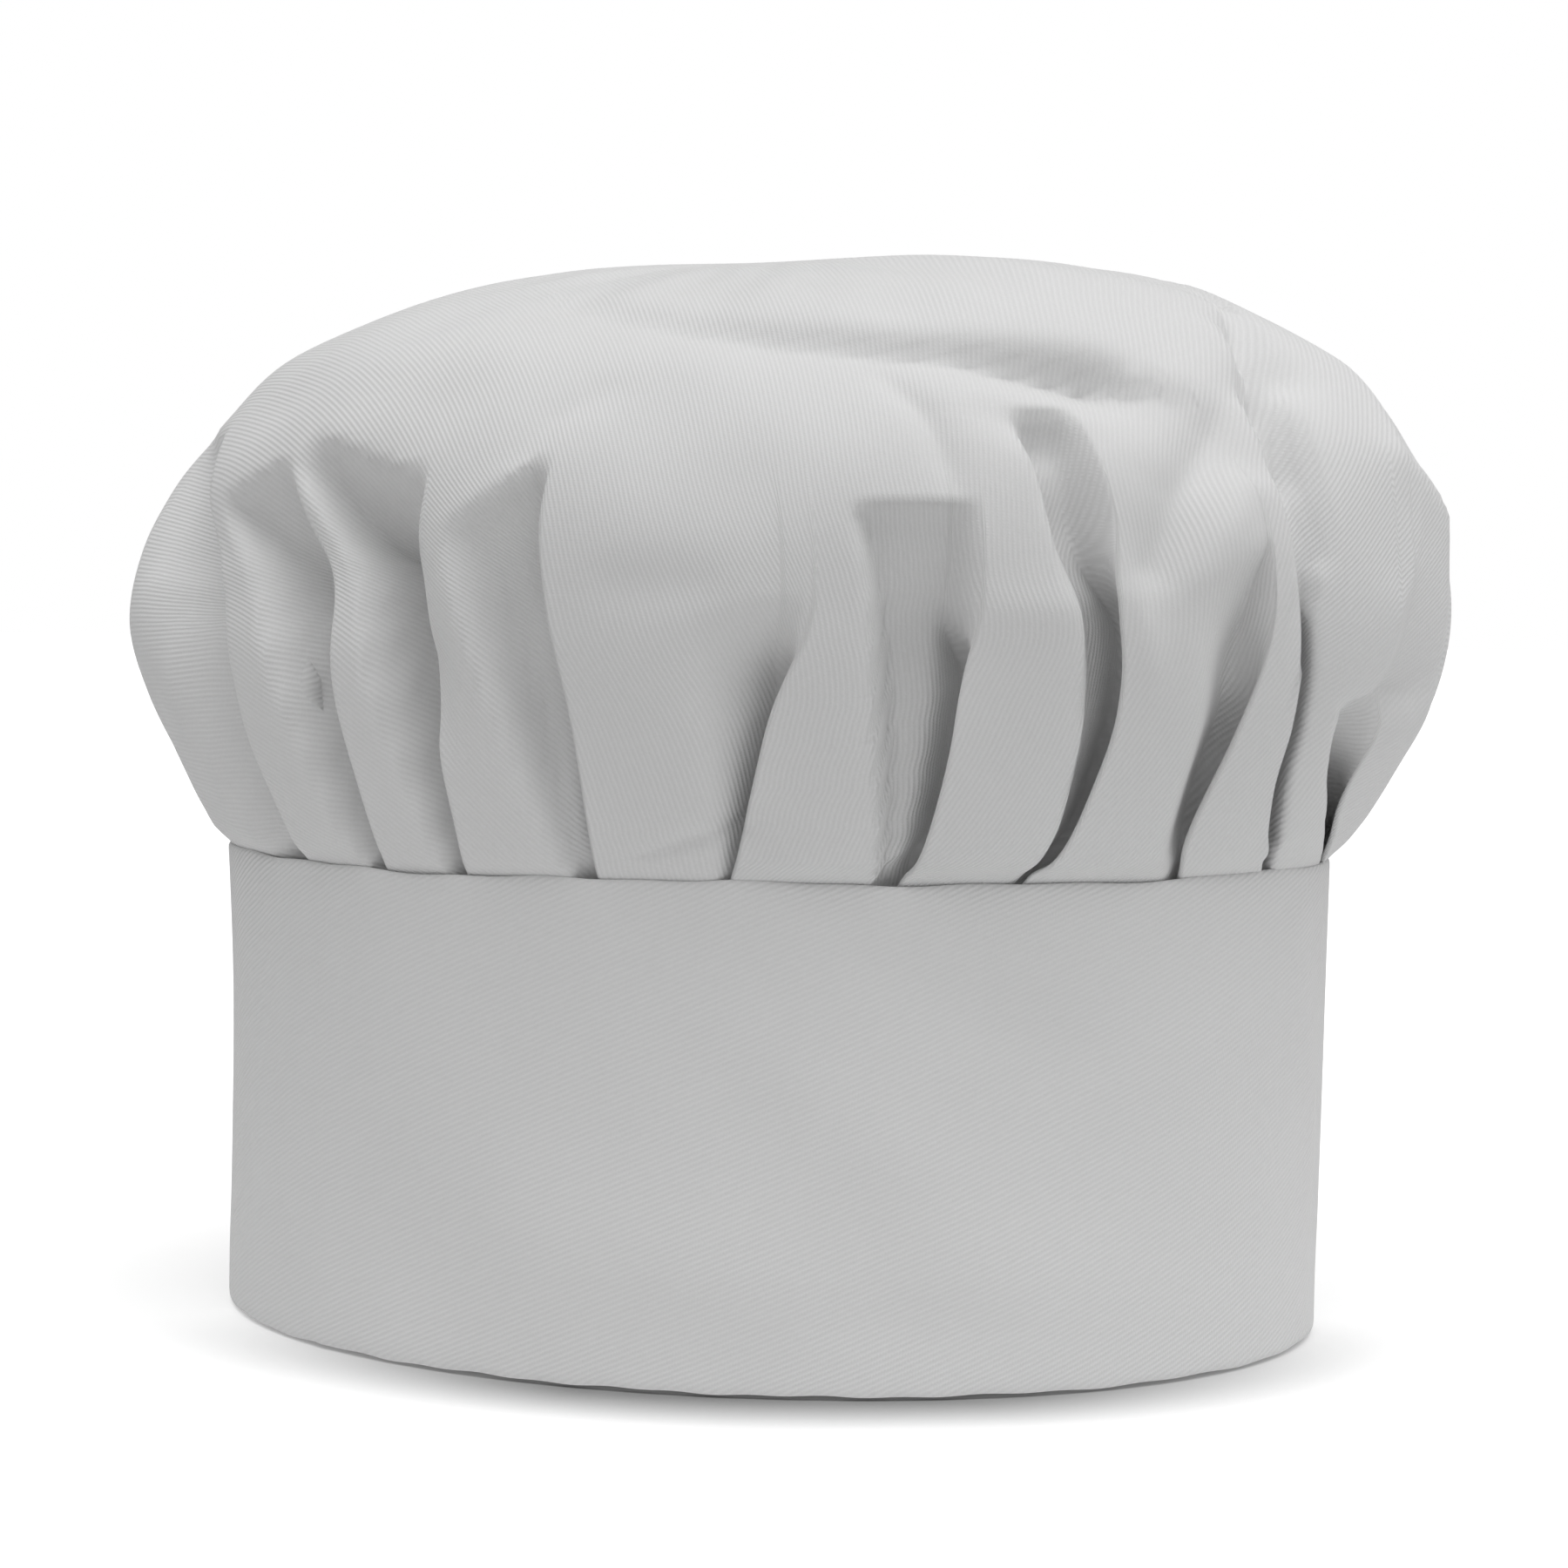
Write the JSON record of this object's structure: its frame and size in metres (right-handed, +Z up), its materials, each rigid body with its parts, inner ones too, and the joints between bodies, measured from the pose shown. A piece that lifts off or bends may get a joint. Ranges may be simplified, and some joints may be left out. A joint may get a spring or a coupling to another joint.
{
  "type": "chef hat",
  "caption": "White cotton chef hat: a tall oval band, open below, and a low puffed crown gathered into it in knife pleats.",
  "frame": {"origin": "middle of the band's bottom rim, on the surface that the hat stands on", "axes": "+Z up through the crown, +X along the oval's long axis to the hat's right-hand end as seen from the front, -Y to the front"},
  "size_m": [0.2545, 0.1984, 0.2009],
  "materials": {
    "band_twill": "matt white cotton twill, fine ribs, double layer",
    "crown_twill": "matt white cotton twill, fine ribs, single layer"
  },
  "bodies": {
    "root": {"band": "band_twill", "crown": "crown_twill"}
  },
  "joints": []
}
